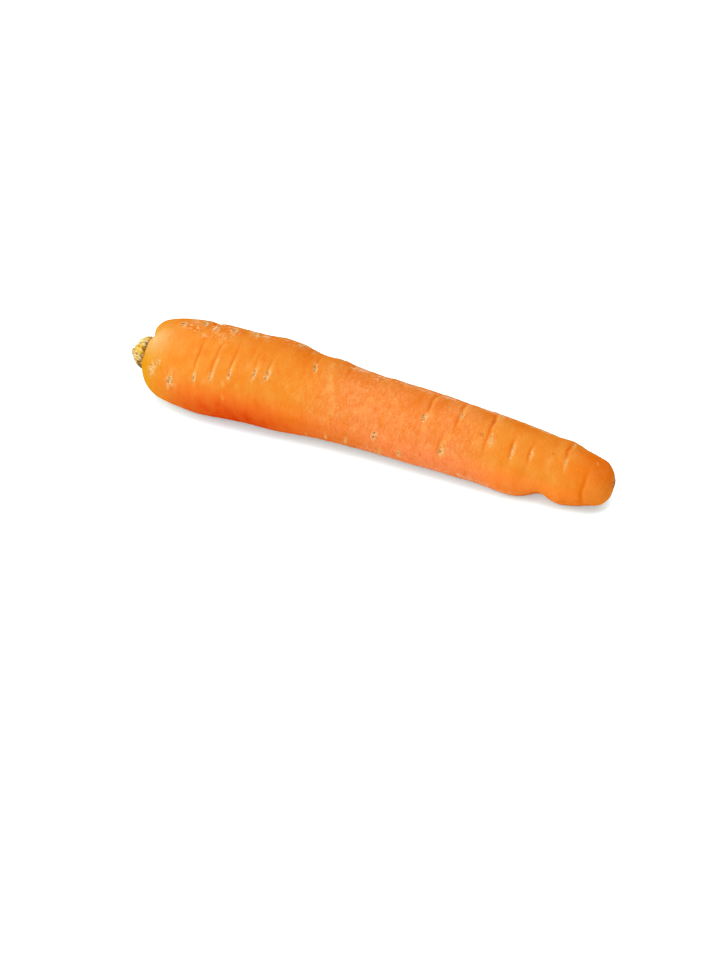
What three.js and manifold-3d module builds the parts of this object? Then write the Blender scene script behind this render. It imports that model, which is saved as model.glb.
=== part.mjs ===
// A topped carrot lying on its side: the taproot and the stub of its leaf stalks.
// Millimetres, +Z up. The root runs along X, its crown at -X and its tip at +X, on the plane Z = 0.
// Angles round the root are in degrees: 0 is the front (-Y), 90 the top (+Z), 180 the back (+Y).

import * as THREE from "three";
import { mergeVertices } from "three/addons/utils/BufferGeometryUtils.js";
import Module from "manifold-3d";

const wasm = await Module();
wasm.setup();

// Driving dimensions of the root
const ROOT_LENGTH = 187;
const CROWN_LENGTH = 14.3; // from the crest of the crown to its full girth
const CROWN_BLUNTNESS = 0.64; // 1 is an ellipse, less is flatter across the end
const CROWN_FLARE = 1.2; // over 1, the shoulder rises later from the dimple's rim
const DIMPLE_RADIUS = 5.8;
const DIMPLE_DEPTH = 3;
const TIP_LENGTH = 11.2; // the rounded end of the tip
const TIP_BLUNTNESS = 0.7;

// [distance from the crown, radius]
const GIRTH = [
  [0, 14.8],
  [22, 16.9],
  [44, 17.1],
  [69, 15.5],
  [94, 14.1],
  [118, 13.7],
  [143, 12.9],
  [163, 11.7],
  [177, 10.3],
  [187, 9.8],
];

// [distance from the crown, how far the middle line bows to the back]
const BOW = [
  [0, 1.4],
  [30, -0.4],
  [64, 0.8],
  [98, 0.4],
  [133, -0.9],
  [163, -0.7],
  [187, -0.4],
];

// [distance from the crown, clearance under the root]; below 0 it is pressed to a flat spot
const CLEARANCE = [
  [0, -0.4],
  [34, -0.4],
  [94, 0.3],
  [148, -0.3],
  [166, -0.8],
  [187, -0.3],
];

// Soft swellings and hollows: [from the crown, angle, reach along, reach round in degrees, height]
const SWELLS = [
  [3, 125, 4, 30, 0.4],
  [38, 127, 8, 40, -0.3],
  [48, 127, 5, 35, -0.2],
  [61, 127, 6, 35, 0.8],
  [72, 127, 6, 35, -0.9],
  [84, 127, 8, 40, -0.1],
  [170, 127, 4, 35, 0.8],
  [178, 127, 5, 40, -0.3],
  [185, 120, 4, 40, 0.2],
  [25, -53, 10, 40, 0.9],
  [60, -53, 10, 40, 0.7],
  [151, -53, 8, 40, 1.1],
  [162, -53, 4.5, 40, -2.5],
  [180, -53, 5, 40, -1.3],
  [22, 225, 10, 40, -0.3],
  [50, 215, 14, 45, 0.4],
  [86, 228, 12, 45, -0.5],
  [126, 206, 14, 40, 0.4],
];

// Cross creases: [from the crown, angle, reach round in degrees, depth, half width]
const CREASES = [
  [28.8, 36, 26, 0.3, 0.9],
  [36.3, 36, 22, 0.45, 1.1],
  [43.8, 40, 20, 0.4, 1.1],
  [52, 46, 18, 0.35, 1.1],
  [56.8, 50, 18, 0.3, 1.0],
  [119, 64, 34, 0.5, 1.3],
  [127.5, 20, 24, 0.4, 1.2],
  [131.5, 80, 24, 0.35, 1.2],
  [143, 72, 44, 0.65, 1.3],
  [153, 46, 24, 0.45, 1.2],
  [159.8, 48, 20, 0.35, 1.1],
  [171.8, 60, 50, 0.5, 1.2],
  [180.2, 22, 58, 0.45, 1.1],
];

// Creases of the back follow two rows of side-root scars, which wind slowly round the root
const BACK_ROWS = [
  { start: 84, from: 62 },
  { start: 180, from: 20 },
];
const BACK_PITCH = 14;
const BACK_END = 172;
const ROW_TWIST = 0.5; // degrees per mm
const GOLDEN = 0.618; // spreads draws evenly between 0 and 1

// Mesh density of the root
const SIDES = 36;
const STATION_STEP = 2.4;
const CLOSEST_STATIONS = 0.7;
const DIMPLE_STEPS = 4;
const CROWN_STEPS = 9;
const TIP_STEPS = 7;

// Driving dimensions of the leaf stub
const STUB_GAP = 0.35; // between the stub and the dimple it stands in
const STUB_HEIGHT = 7.2; // past the crest of the crown
const STUB_LEAN = { back: 0.7, up: 0.9 }; // how far its top leans off the dimple's axis
const CORE_RADIUS = 4.2;
const OUTER_STALKS = 7;
const OUTER_RING = 3.7;
const INNER_STALKS = 3;
const INNER_RING = 1.5;
const STALK_SIDES = 8;

const radians = THREE.MathUtils.degToRad;

// Cubic curve through [place, value] knots, its slopes taken from the neighbours of each knot.
function smoothCurve(knots, place) {
  const last = knots.length - 1;
  const slope = (i) => {
    if (i === 0 || i === last) {
      const a = Math.min(i, last - 1);
      return (knots[a + 1][1] - knots[a][1]) / (knots[a + 1][0] - knots[a][0]);
    }
    const before = knots[i][0] - knots[i - 1][0];
    const after = knots[i + 1][0] - knots[i][0];
    const rise = (knots[i][1] - knots[i - 1][1]) / before;
    const next = (knots[i + 1][1] - knots[i][1]) / after;
    return (rise * after + next * before) / (before + after);
  };
  let i = 0;
  while (i < last - 1 && place >= knots[i + 1][0]) i += 1;
  const span = knots[i + 1][0] - knots[i][0];
  const t = THREE.MathUtils.clamp((place - knots[i][0]) / span, 0, 1);
  const t2 = t * t;
  const t3 = t2 * t;
  return (
    (2 * t3 - 3 * t2 + 1) * knots[i][1] +
    (t3 - 2 * t2 + t) * span * slope(i) +
    (3 * t2 - 2 * t3) * knots[i + 1][1] +
    (t3 - t2) * span * slope(i + 1)
  );
}

const bell = (distance, reach) => Math.exp(-((distance / reach) ** 2));

// Degrees from one angle to another, the short way round.
const turn = (a, b) => THREE.MathUtils.euclideanModulo(a - b + 180, 360) - 180;

function swelling(along, angle) {
  return SWELLS.reduce(
    (sum, [x, a, reach, spread, height]) =>
      sum + height * bell(along - x, reach) * bell(turn(angle, a), spread),
    0,
  );
}

function backCreases() {
  const rows = BACK_ROWS.map(({ start, from }, row) => {
    const count = Math.floor((BACK_END - from) / BACK_PITCH);
    return Array.from({ length: count }, (_, n) => {
      const draw = ((n + 1) * GOLDEN + row * 0.37) % 1;
      const x = from + BACK_PITCH * (n + 0.6 * draw);
      return [x, start + ROW_TWIST * x, 16 + 20 * draw, 0.3 + 0.25 * draw, 1.2];
    });
  });
  return rows.flat();
}

const ALL_CREASES = [...CREASES, ...backCreases()];

// A crease is a groove between two low lips, deepest at its middle angle.
function creasing(along, angle) {
  return ALL_CREASES.reduce((sum, [x, a, spread, depth, half]) => {
    const u = ((along - x) / half) ** 2;
    return sum - depth * (1 - u) * Math.exp(-u) * bell(turn(angle, a), spread);
  }, 0);
}

const girth = (along) => smoothCurve(GIRTH, THREE.MathUtils.clamp(along, 0, ROOT_LENGTH));

// Rings from the bottom of the dimple, over the crest and the shoulder, to the tip: [along, radius].
function meridian() {
  const rings = [];
  for (let i = 1; i < DIMPLE_STEPS; i += 1) {
    const s = i / DIMPLE_STEPS;
    rings.push([dimpleFloor(s * DIMPLE_RADIUS), s * DIMPLE_RADIUS]);
  }
  for (let i = 0; i < CROWN_STEPS; i += 1) {
    const f = (Math.PI / 2) * (i / CROWN_STEPS);
    const along = CROWN_LENGTH * (1 - Math.cos(f) ** CROWN_BLUNTNESS);
    const rise = Math.sin(f) ** CROWN_FLARE;
    rings.push([along, DIMPLE_RADIUS + (girth(along) - DIMPLE_RADIUS) * rise]);
  }
  for (const along of bodyStations()) rings.push([along, girth(along)]);
  for (let i = 0; i < TIP_STEPS; i += 1) {
    const g = (Math.PI / 2) * (i / TIP_STEPS);
    const along = ROOT_LENGTH - TIP_LENGTH * (1 - Math.sin(g));
    rings.push([along, girth(along) * Math.cos(g) ** TIP_BLUNTNESS]);
  }
  return rings;
}

// The dimple is a bell: its floor is deepest on the axis and level with the crest at its rim.
function dimpleFloor(radius) {
  return (DIMPLE_DEPTH * (1 + Math.cos((Math.PI * radius) / DIMPLE_RADIUS))) / 2;
}

// Even stations along the body, with three more at every crease.
function bodyStations() {
  const from = CROWN_LENGTH;
  const to = ROOT_LENGTH - TIP_LENGTH;
  const creased = CREASES.flatMap(([x, , , , half]) => [x, x - 1.2 * half, x + 1.2 * half]);
  const stations = creased.filter((x) => x > from && x < to - CLOSEST_STATIONS);
  const clear = (x) => stations.every((s) => Math.abs(s - x) > CLOSEST_STATIONS);
  const count = Math.ceil((to - from) / STATION_STEP);
  for (let i = 0; i < count; i += 1) {
    const x = from + ((to - from) * i) / count;
    if (i === 0 || clear(x)) stations.push(x);
  }
  return stations.sort((a, b) => a - b);
}

// The point of the root's skin on the ring [along, radius] at an angle.
function skinPoint(along, radius, angle) {
  const share = Math.min(radius / girth(along), 1);
  const relief = swelling(along, angle) + creasing(along, angle);
  const reach = radius + share * relief;
  const y = smoothCurve(BOW, along) - reach * Math.cos(radians(angle));
  const z = girth(along) + smoothCurve(CLEARANCE, along) + reach * Math.sin(radians(angle));
  return new THREE.Vector3(along, y, Math.max(z, 0));
}

// A closed geometry from rings of points between a start point and an end point.
function closedRings(start, rings, end) {
  const sides = rings[0].length;
  const points = [start, ...rings.flat(), end];
  const index = [];
  const at = (ring, side) => 1 + ring * sides + (side % sides);
  for (let side = 0; side < sides; side += 1) {
    index.push(0, at(0, side), at(0, side + 1));
    for (let ring = 0; ring + 1 < rings.length; ring += 1) {
      index.push(at(ring, side), at(ring + 1, side), at(ring, side + 1));
      index.push(at(ring, side + 1), at(ring + 1, side), at(ring + 1, side + 1));
    }
    index.push(points.length - 1, at(rings.length - 1, side + 1), at(rings.length - 1, side));
  }
  const geometry = new THREE.BufferGeometry().setFromPoints(points);
  geometry.setIndex(index);
  return geometry;
}

function rootGeometry() {
  const rings = meridian().map(([along, radius]) =>
    Array.from({ length: SIDES }, (_, side) => skinPoint(along, radius, (360 * side) / SIDES)),
  );
  return closedRings(skinPoint(DIMPLE_DEPTH, 0, 0), rings, skinPoint(ROOT_LENGTH, 0, 0));
}

// A point of the stub, moved off the dimple's axis by the lean of the whole stub.
function leaned(x, y, z) {
  const share = Math.max(-x, 0) / STUB_HEIGHT;
  return new THREE.Vector3(x, y + STUB_LEAN.back * share, z + STUB_LEAN.up * share);
}

// A stalk stands in the dimple and leans with height. Its section is an oval, wide round the stub
// and thin across it, and its top is rounded and cut on a slant.
function stalkGeometry({ ring, angle, wide, thin, height, lean, slant }) {
  const outward = new THREE.Vector2(-Math.cos(radians(angle)), Math.sin(radians(angle)));
  const round = new THREE.Vector2(-outward.y, outward.x);
  const levels = [0, 0.35, 0.7, 0.88, 0.97, 1];
  const sizes = [0.9, 1, 1, 0.94, 0.78, 0.45];
  const middleAt = (level) => ring + lean * level;
  const pointAt = (level, across, along) => {
    const reach = middleAt(level) + across * thin;
    const y = outward.x * reach + round.x * along * wide;
    const z = outward.y * reach + round.y * along * wide;
    const foot = dimpleFloor(Math.min(Math.hypot(y, z), DIMPLE_RADIUS)) - STUB_GAP;
    const top = -height - slant * across * level;
    return leaned(foot + (top - foot) * level, y, z);
  };
  const rings = levels.map((level, i) =>
    Array.from({ length: STALK_SIDES }, (_, side) => {
      const turned = (2 * Math.PI * side) / STALK_SIDES;
      return pointAt(level, sizes[i] * Math.cos(turned), sizes[i] * Math.sin(turned));
    }),
  );
  return closedRings(pointAt(0, 0, 0), rings, pointAt(1, 0, 0));
}

// The stalks of the stub: an outer ring that wraps an inner one, of uneven heights.
function stalks() {
  const outer = Array.from({ length: OUTER_STALKS }, (_, n) => ({
    ring: OUTER_RING,
    angle: 20 + (360 * n) / OUTER_STALKS,
    wide: 2.1,
    thin: 1.6,
    height: STUB_HEIGHT * (0.56 + 0.26 * ((n * GOLDEN) % 1)),
    lean: 0.3 - 0.6 * ((n * GOLDEN * 2) % 1),
    slant: -0.9,
  }));
  const inner = Array.from({ length: INNER_STALKS }, (_, n) => ({
    ring: INNER_RING,
    angle: 70 + (360 * n) / INNER_STALKS,
    wide: 1.9,
    thin: 1.5,
    height: STUB_HEIGHT * (0.86 + 0.06 * n),
    lean: 0.1,
    slant: -0.5,
  }));
  return [...outer, ...inner];
}

// The heart of the stub, which all the stalks grow from.
function coreGeometry() {
  const levels = [0, 0.3, 0.65, 0.85, 1];
  const radii = [0.95, 1, 0.9, 0.7, 0.35].map((share) => share * CORE_RADIUS);
  const rings = levels.map((level, i) =>
    Array.from({ length: 2 * STALK_SIDES }, (_, side) => {
      const turned = (Math.PI * side) / STALK_SIDES;
      const foot = dimpleFloor(radii[i]) - STUB_GAP;
      const x = foot + (-0.7 * STUB_HEIGHT - foot) * level;
      return leaned(x, -radii[i] * Math.cos(turned), -radii[i] * Math.sin(turned));
    }),
  );
  const foot = new THREE.Vector3(DIMPLE_DEPTH - STUB_GAP, 0, 0);
  return closedRings(foot, rings, leaned(-0.75 * STUB_HEIGHT, 0, 0));
}

// The closed geometry as a manifold-3d solid.
function solidOf(geometry) {
  const merged = mergeVertices(geometry, 1e-4);
  return new wasm.Manifold(
    new wasm.Mesh({
      numProp: 3,
      vertProperties: new Float32Array(merged.attributes.position.array),
      triVerts: new Uint32Array(merged.index.array),
    }),
  );
}

function geometryOf(solid) {
  const mesh = solid.getMesh();
  const geometry = new THREE.BufferGeometry();
  geometry.setAttribute("position", new THREE.BufferAttribute(mesh.vertProperties, 3));
  geometry.setIndex(new THREE.BufferAttribute(mesh.triVerts, 1));
  return geometry;
}

// The stalks joined to their heart; the largest body leaves out any pocket sealed between them.
function stubGeometry() {
  const joined = stalks().reduce(
    (whole, stalk) => whole.add(solidOf(stalkGeometry(stalk))),
    solidOf(coreGeometry()),
  );
  const bodies = joined.decompose().sort((a, b) => b.volume() - a.volume());
  return geometryOf(bodies[0]);
}

function namedMesh(name, geometry, material) {
  geometry.computeVertexNormals();
  const mesh = new THREE.Mesh(geometry, new THREE.MeshStandardMaterial(material));
  mesh.name = name;
  return mesh;
}

const root = namedMesh("root", rootGeometry(), {
  color: 0xf58a2c,
  roughness: 0.45,
  metalness: 0,
});

const leafStub = namedMesh("leaf_stub", stubGeometry(), {
  color: 0xd9c46a,
  roughness: 0.7,
  metalness: 0,
});
leafStub.position.copy(skinPoint(DIMPLE_DEPTH, 0, 0)).setX(0);

// The origin is under the middle of the carrot's bounding box.
const carrot = new THREE.Group();
carrot.add(root, leafStub);
const bounds = new THREE.Box3().setFromObject(carrot);
const middle = bounds.getCenter(new THREE.Vector3());
carrot.position.set(-middle.x, -middle.y, -bounds.min.z);

export default carrot;
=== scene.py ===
"""Looks of a topped carrot lying on a pale floor: its skin, scars, creases and leaf stub."""

import math

import bpy
import numpy as np
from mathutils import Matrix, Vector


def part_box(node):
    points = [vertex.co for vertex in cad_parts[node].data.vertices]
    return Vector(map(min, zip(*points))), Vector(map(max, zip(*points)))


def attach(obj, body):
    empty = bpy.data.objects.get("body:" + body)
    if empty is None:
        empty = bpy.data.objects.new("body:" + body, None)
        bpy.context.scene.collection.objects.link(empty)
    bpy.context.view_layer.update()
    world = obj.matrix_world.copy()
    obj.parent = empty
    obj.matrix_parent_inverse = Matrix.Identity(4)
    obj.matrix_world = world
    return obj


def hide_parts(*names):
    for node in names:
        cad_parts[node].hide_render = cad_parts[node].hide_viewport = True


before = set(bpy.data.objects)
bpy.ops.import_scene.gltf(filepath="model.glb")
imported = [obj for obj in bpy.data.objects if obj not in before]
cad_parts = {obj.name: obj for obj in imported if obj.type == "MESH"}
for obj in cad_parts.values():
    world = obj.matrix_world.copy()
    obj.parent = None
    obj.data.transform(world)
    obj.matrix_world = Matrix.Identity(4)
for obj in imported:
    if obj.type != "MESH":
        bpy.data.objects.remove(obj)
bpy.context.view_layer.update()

# ---- sizes, in millimetres
# Lengths run from the crown to the tip. Angles go round the root in degrees:
# 0 is the front (-Y), 90 the top (+Z), 180 the back (+Y).
#
# Where the numbers come from. A least-squares fit, rounded: the lengths and bluntness below,
# CROWN_FLARE, DIMPLE_RADIUS, GIRTH and BOW, and the camera's azimuth, distance and aim.
# Begun by a program, then mostly changed: the heights of SWELLS (a second fit), the
# places of CREASES, SCARS and PORES (a projection of points picked one by one), and FILL and
# SOFTBOXES (a solve for the shading). The other tables were set one by one.

ROOT_LENGTH = 187
CROWN_LENGTH = 14.3
CROWN_BLUNTNESS = 0.64
CROWN_FLARE = 1.2
DIMPLE_RADIUS = 5.8
DIMPLE_DEPTH = 3
TIP_LENGTH = 11.2
TIP_BLUNTNESS = 0.7

# [distance from the crown, radius]
GIRTH = [
    [0, 14.8], [22, 16.9], [44, 17.1], [69, 15.5], [94, 14.1],
    [118, 13.7], [143, 12.9], [163, 11.7], [177, 10.3], [187, 9.8],
]

# [distance from the crown, how far the middle line bows to the back]
BOW = [[0, 1.4], [30, -0.4], [64, 0.8], [98, 0.4], [133, -0.9], [163, -0.7], [187, -0.4]]

# [distance from the crown, clearance under the root]; below 0 it is pressed to a flat spot
CLEARANCE = [[0, -0.4], [34, -0.4], [94, 0.3], [148, -0.3], [166, -0.8], [187, -0.3]]

# Soft swellings and hollows: [from the crown, angle, reach along, reach round, height]
SWELLS = [
    [3, 125, 4, 30, 0.4],
    [5, 100, 4, 26, 0.4],
    [26, 117, 2.2, 30, -0.8],
    [38, 127, 8, 40, -0.3],
    [48, 127, 5, 35, -0.2],
    [53.5, 127, 3.5, 35, 0.45],
    [61, 127, 6, 35, 0.8],
    [63.5, 127, 2.5, 35, -0.25],
    [72, 127, 6, 35, -0.9],
    [75.5, 127, 4.5, 35, 0.85],
    [84, 127, 8, 40, -0.1],
    [170, 127, 4, 35, 0.8],
    [178, 127, 5, 40, -0.3],
    [185, 120, 4, 40, 0.2],
    [25, -53, 10, 40, 0.9],
    [60, -53, 10, 40, 0.7],
    [151, -53, 8, 40, 1.1],
    [162, -53, 4.5, 40, -2.5],
    [180, -53, 5, 40, -1.3],
    [22, 225, 10, 40, -0.3],
    [50, 215, 14, 45, 0.4],
    [86, 228, 12, 45, -0.5],
    [126, 206, 14, 40, 0.4],
]

# Cross creases: [from the crown, angle, reach round, depth, half width, lean in mm for a degree]
CREASES = [
    [17.2, 34, 18, 0.12, 0.8, 0.01],
    [28.7, 42, 26, 0.26, 0.65, 0.0],
    [35.9, 40, 20, 0.36, 0.65, 0.01],
    [42.5, 44, 20, 0.36, 0.65, 0.01],
    [51.6, 50, 17, 0.32, 0.65, 0.01],
    [56.5, 52, 15, 0.28, 0.65, 0.01],
    [71.6, 86, 18, 0.3, 0.9, -0.03],
    [84.2, 92, 20, 0.3, 0.9, -0.04],
    [118.6, 84, 30, 0.6, 1.0, 0.005],
    [126.5, 10, 16, 0.35, 0.9, 0.03],
    [129.4, 32, 10, 0.25, 0.9, 0.1],
    [130.7, 66, 14, 0.35, 0.9, 0.0],
    [129.9, 96, 16, 0.5, 1.0, -0.04],
    [142.2, 88, 22, 0.85, 0.9, -0.03],
    [142.9, 46, 18, 0.35, 0.9, -0.01],
    [152.3, 46, 18, 0.45, 0.8, 0.0],
    [159.0, 50, 16, 0.4, 0.8, 0.0],
    [170.9, 88, 26, 0.45, 1.0, -0.01],
    [171.2, 50, 14, 0.3, 0.9, 0.0],
    [179.5, 16, 44, 0.34, 0.9, 0.01],
]

# Creases of the back follow two rows of side-root scars, which wind slowly round the root
BACK_ROWS = [[84, 62], [180, 20]]  # start angle, first place
BACK_PITCH = 14
BACK_END = 172
ROW_TWIST = 0.5  # degrees per mm
GOLDEN = 0.618

# Side-root scars: [from the crown, angle, length, width, tilt, openness from 0 to 1].
# A scar lies across the root; its tilt, in degrees, turns its upper end towards the tip.
SCARS = [
    [9.3, 13, 5.6, 2.3, 12, 0.9],
    [12.6, 26, 2.6, 1.4, 0, 0.8],
    [18.1, 4, 4.8, 2.1, 10, 0.65],
    [28.9, 17, 4.2, 1.5, 0, 0.6],
    [36.0, 25, 4.8, 1.6, 12, 0.45],
    [42.9, 31, 4.6, 1.6, 6, 0.5],
    [52.0, 38, 4.8, 1.7, 6, 0.55],
    [57.0, 41, 4.8, 1.9, 4, 0.5],
    [72.4, 73, 5.4, 1.5, -24, 0.6],
    [118.6, 50, 3.4, 2.0, 0, 0.7],
    [127.4, 10, 4.2, 1.9, 10, 0.6],
    [131.3, 72, 3.0, 1.5, -10, 0.5],
    [144.4, 49, 5.4, 1.5, -4, 0.4],
    [152.9, 44, 5.6, 1.1, 0, 0.35],
    [159.5, 49, 3.8, 0.9, -4, 0.35],
    [171.5, 58, 2.4, 1.0, 0, 0.25],
    [100.9, 2, 3.6, 1.5, 6, 0.9],
    [101.9, -32, 4.6, 0.8, 10, 0.2],
    [88.6, -27, 3.8, 1.0, 14, 0.2],
    [80.4, -31, 3.0, 0.9, 10, 0.1],
    [72.2, -37, 2.4, 0.9, 8, 0.1],
    [110.4, -20, 3.6, 1.2, 5, 0.6],
    [15.7, 88, 4.0, 2.0, -20, 0.7],
    [23.6, 99, 5.4, 2.2, -24, 0.7],
    [30.6, 88, 3.0, 1.4, -20, 0.3],
    [36.6, 97, 5.0, 2.0, -20, 0.6],
    [44.6, 101, 5.6, 1.8, -24, 0.6],
    [61.6, 112, 4.2, 1.6, -10, 0.2],
    [171.2, 104, 2.6, 1.0, -16, 0.5],
    [181.5, 84, 1.4, 0.8, -30, 0.1],
]

# One more row of scars runs along the underside: start angle, first place, last place, pitch
UNDER_ROW = [-82, 14, 168, 13]

# Pale patches, partly rubbed dry skin and partly painted sheen along the upper edge and the low side:
# [from the crown, angle, reach along, reach round, strength, lean]
RUBS_AND_SHEEN = [
    [29.2, 92, 1.5, 11, 0.9, -0.1],
    [35.4, 104, 1.6, 8, 0.7, -0.1],
    [42.6, 108, 1.4, 8, 0.9, -0.1],
    [48.2, 104, 2.2, 9, 0.75, -0.1],
    [62, 117, 2.4, 8, 0.8, 0],
    [87.4, 107, 4.4, 12, 0.8, 0],
    [95, 107, 5, 11, 0.7, 0],
    [106, 107, 7, 11, 0.65, 0],
    [122, 107, 6, 10, 0.7, 0],
    [144.4, 100, 0.9, 14, 0.6, -0.05],
    [141, 110, 9, 8, 0.75, 0],
    [157, 112, 8, 5, 0.85, 0],
    [112, 105, 10, 9, 0.65, 0],
    [80.9, 46, 1.8, 16, 0.45, -0.06],
    [18, 6, 1.6, 8, 0.4, 0],
    [119.8, 52, 1.4, 9, 0.5, 0],
    [36.9, 42, 0.6, 7, 0.6, 0.03],
    [138, -34, 12, 10, 0.7, 0],
    [124, -40, 10, 9, 0.55, 0],
    [98, -36, 12, 12, 0.5, 0],
    [150, -38, 8, 8, 0.55, 0],
    [66, 176, 6, 16, 0.6, 0],
    [112, 200, 8, 14, 0.6, 0],
    [34, 232, 5, 16, 0.6, 0],
    [150, 226, 6, 14, 0.55, 0],
]

# Pale yellow marks, as for the rubs: painted highlights beside the creases and in soft patches on the
# upper side, and pale smears and spots
SMEARS_AND_HIGHLIGHTS = [
    [36.9, 38, 0.7, 11, 0.95, 0.03],
    [43.5, 41, 0.7, 10, 0.9, 0.02],
    [52.9, 46, 0.7, 9, 0.9, 0.02],
    [57.4, 49, 0.7, 7, 0.8, 0],
    [29.4, 28, 0.5, 14, 0.5, 0],
    [40.8, 17, 0.8, 4, 0.8, 0],
    [41.0, -2, 0.5, 4, 0.7, 0],
    [27.0, 74, 0.9, 4, 0.8, 0],
    [27.2, 50, 0.8, 5, 0.6, 0],
    [34.9, 70, 1.0, 4, 0.7, 0],
    [33.0, 80, 1.4, 3, 0.6, 0],
    [37.2, 64, 0.7, 4, 0.6, 0],
    [12.2, 40, 0.7, 3, 0.8, 0],
    [17.2, -6, 0.7, 5, 0.7, 0.06],
    [21, 0, 0.6, 4, 0.5, 0],
    [49, 46, 0.9, 5, 0.5, 0],
    [33, 14, 0.8, 4, 0.5, 0],
    [46.2, 18, 0.7, 4, 0.4, 0],
    [65, 35, 0.6, 3, 0.6, 0],
    [70, 24, 2.2, 4, 0.35, 0],
    [77.6, 86, 0.9, 10, 0.6, -0.09],
    [79.2, 66, 1.0, 10, 0.7, -0.08],
    [80.9, 51, 1.5, 9, 0.85, -0.06],
    [83.1, 36, 1.0, 10, 0.7, -0.05],
    [83.4, 19, 1.0, 7, 0.6, 0],
    [81.2, 4, 1.1, 7, 0.5, 0.1],
    [92.7, 3, 0.7, 4, 0.9, -0.1],
    [92.8, 29, 1.4, 5, 0.5, 0],
    [88.7, -27, 0.6, 8, 0.6, 0.08],
    [102, -33, 0.6, 11, 0.6, 0.08],
    [80.5, -31, 0.6, 8, 0.6, 0.08],
    [95.5, 36, 1.4, 9, 0.5, 0],
    [97, 52, 1.4, 4, 0.5, 0],
    [105.6, 63, 1.4, 4, 0.5, 0],
    [110.6, 38, 0.8, 9, 0.5, 0],
    [119.5, 92, 0.7, 12, 0.5, -0.04],
    [120.2, 55, 1.5, 7, 0.6, 0],
    [119.3, 36, 0.6, 6, 0.6, 0],
    [129.3, 34, 0.7, 6, 0.9, 0.09],
    [128.0, 21, 0.6, 8, 0.8, 0.08],
    [128.2, 7, 0.9, 8, 0.7, 0],
    [131.3, 92, 0.9, 13, 0.8, -0.04],
    [130.6, 104, 0.8, 8, 0.5, -0.04],
    [134.4, 66, 0.8, 5, 0.5, 0],
    [140.4, 38, 1.2, 8, 0.6, -0.04],
    [143.8, 94, 1.2, 14, 0.8, -0.06],
    [145.2, 46, 1.3, 9, 0.8, -0.04],
    [143.5, 6, 0.5, 10, 0.4, 0],
    [153.3, 44, 0.8, 15, 0.7, 0],
    [159.9, 48, 0.6, 10, 0.8, 0],
    [166.2, 46, 1.2, 11, 0.6, 0],
    [171.7, 52, 0.7, 13, 0.8, 0],
    [182.4, 20, 2.0, 40, 0.12, 0],
    [147.0, 8, 1.6, 16, 0.3, 0],
    [171.4, 104, 0.6, 6, 0.6, -0.05],
]

# Darker stretches, as for the rubs: painted shade beside creases and steps and along the upper edge, and
# a darker tone of the skin elsewhere
SHADES = [
    [26.6, 93, 1.6, 9, 0.6, -0.1],
    [32.8, 92, 1.4, 10, 0.6, -0.1],
    [39.6, 96, 1.8, 9, 0.7, -0.1],
    [46.2, 88, 3, 8, 0.4, -0.1],
    [56, 100, 6, 18, 0.5, 0],
    [67, 94, 4, 26, 0.6, 0],
    [64, 106, 6, 12, 0.8, 0],
    [26.4, 106, 1.4, 14, 0.9, -0.1],
    [33, 108, 2.4, 8, 0.6, -0.1],
    [32, 91, 12, 7, 0.4, 0],
    [18, 92, 4, 7, 0.35, 0],
    [50, 108, 3, 9, 0.6, 0],
    [85.2, 90, 1.3, 10, 0.8, -0.04],
    [82.0, 104, 1.6, 9, 0.6, -0.08],
    [113, 74, 4.5, 24, 0.5, 0],
    [104.5, 98, 1.2, 12, 0.5, 0],
    [90, 82, 5, 8, 0.4, 0],
    [125.9, 14, 0.7, 14, 0.7, 0.06],
    [121.4, 82, 3, 16, 0.5, 0],
    [130.4, 60, 0.8, 12, 0.6, 0],
    [139.6, 96, 3, 14, 0.55, -0.03],
    [150, 98, 7, 10, 0.4, 0],
    [151.8, 44, 0.7, 12, 0.6, 0],
    [158.8, 46, 0.7, 12, 0.5, 0],
    [170.4, 94, 1.0, 18, 0.6, -0.02],
    [179.0, 8, 0.8, 34, 1.0, 0.01],
    [178.2, -24, 1.4, 12, 0.6, 0],
    [180, 92, 4, 12, 0.6, 0],
    [68, -12, 5, 6, 0.5, 0],
    [89, -12, 1.6, 6, 0.5, 0],
    [88, -30, 12, 24, 0.3, 0],
    [142.6, 62, 0.6, 10, 0.6, -0.02],
    [28.2, 50, 0.6, 14, 0.3, 0],
    [35.4, 44, 0.5, 12, 0.4, 0.03],
    [108, 84, 5, 8, 0.35, 0],
]

# Scuffs, where pale flecks and brown specks crowd, as for the rubs
SCUFFS = [
    [15.8, 88, 1.5, 7, 0.9, -0.1],
    [19.2, 87, 1.8, 7, 0.9, -0.1],
    [22.4, 84, 1.8, 8, 0.9, -0.1],
    [24, 101, 1.6, 8, 1.0, -0.1],
    [31.5, 108, 2.6, 8, 0.9, -0.1],
    [19.5, 100, 2.0, 7, 0.8, -0.1],
    [29, 94, 1.8, 12, 0.9, -0.1],
    [36.4, 97, 2.2, 10, 1.0, -0.1],
    [34, 78, 5, 8, 0.35, 0],
    [27, 74, 2.4, 5, 0.35, 0],
    [44.6, 103, 2.4, 9, 1.0, -0.1],
    [48.6, 102, 2.4, 8, 0.7, -0.1],
    [57, 108, 2.5, 8, 0.7, -0.1],
    [62, 113, 2.2, 9, 0.9, 0],
    [84, 106, 1.2, 9, 0.9, -0.06],
    [91, 62, 7, 26, 0.12, 0],
    [94.6, 98, 1.2, 10, 0.8, -0.06],
    [101, 2, 2.0, 12, 0.5, 0],
    [106, 70, 5, 14, 0.15, 0],
    [18.2, 4, 2.0, 12, 0.6, 0],
    [9.4, 14, 2.0, 14, 0.5, 0],
    [128, 12, 1.6, 12, 0.5, 0],
    [40, 190, 10, 20, 0.5, 0],
    [96, 214, 12, 24, 0.6, 0],
]

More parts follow.
